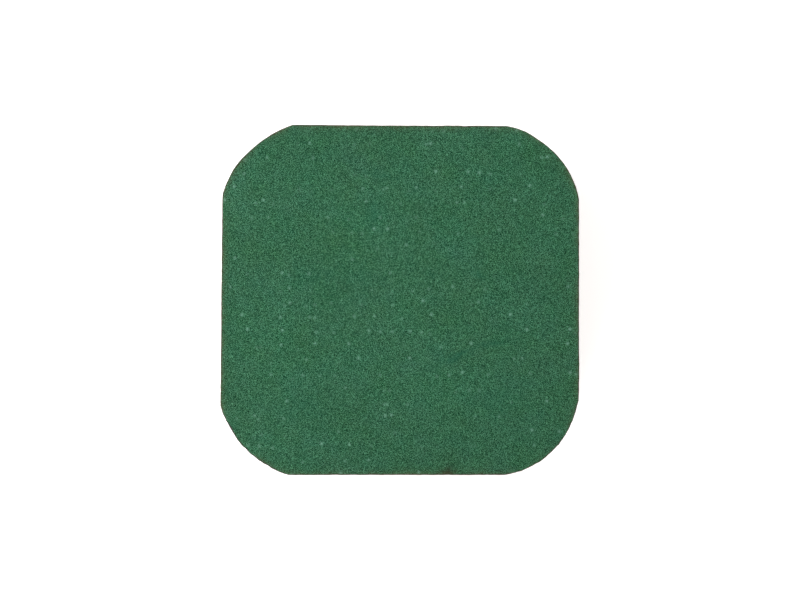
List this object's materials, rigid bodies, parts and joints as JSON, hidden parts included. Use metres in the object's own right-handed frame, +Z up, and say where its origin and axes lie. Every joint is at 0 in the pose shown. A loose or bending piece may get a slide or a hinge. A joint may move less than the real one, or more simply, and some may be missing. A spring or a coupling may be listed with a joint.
{
  "type": "mounting block",
  "caption": "One-step wooden mounting block: green granule tread with rounded corners on a splayed, slatted box with hand holes and rubber feet.",
  "frame": {"origin": "on the floor under the middle of the board", "axes": "+X to the right along the wider side, +Y to the back, +Z up"},
  "size_m": [0.4012, 0.3917, 0.3],
  "materials": {
    "green_granules": "green slate granules pressed into roofing felt, matte and gritty",
    "bitumen": "black bitumen adhesive, trowelled thin",
    "stained_plywood": "exterior plywood, sawn edge, brushed dark-brown stain",
    "frame_timber": "planed softwood, thin brown stain",
    "boarding_timber": "planed softwood boards, dark-brown stain, worn arrises",
    "foot_rubber": "moulded black rubber, matte",
    "screw_steel": "zinc-plated steel with a faint yellow passivation"
  },
  "bodies": {
    "root": {"tread_felt": "green_granules", "felt_adhesive": "bitumen", "top_board": "stained_plywood", "top_rail_front": "frame_timber", "top_rail_right": "frame_timber", "top_rail_back": "frame_timber", "top_rail_left": "frame_timber", "corner_post_front_left": "frame_timber", "corner_post_front_right": "frame_timber", "corner_post_back_right": "frame_timber", "corner_post_back_left": "frame_timber", "front_slat_upper": "boarding_timber", "front_slat_middle": "boarding_timber", "front_slat_lower": "boarding_timber", "right_slat_upper": "boarding_timber", "right_slat_middle": "boarding_timber", "right_slat_lower": "boarding_timber", "back_slat_upper": "boarding_timber", "back_slat_middle": "boarding_timber", "back_slat_lower": "boarding_timber", "left_slat_upper": "boarding_timber", "left_slat_middle": "boarding_timber", "left_slat_lower": "boarding_timber", "rubber_foot_front_left": "foot_rubber", "rubber_foot_front_right": "foot_rubber", "rubber_foot_back_right": "foot_rubber", "rubber_foot_back_left": "foot_rubber", "front_slat_screws": "screw_steel", "right_slat_screws": "screw_steel", "back_slat_screws": "screw_steel", "left_slat_screws": "screw_steel", "top_board_screws": "screw_steel", "foot_screws": "screw_steel", "foot_washers": "screw_steel"}
  },
  "joints": []
}
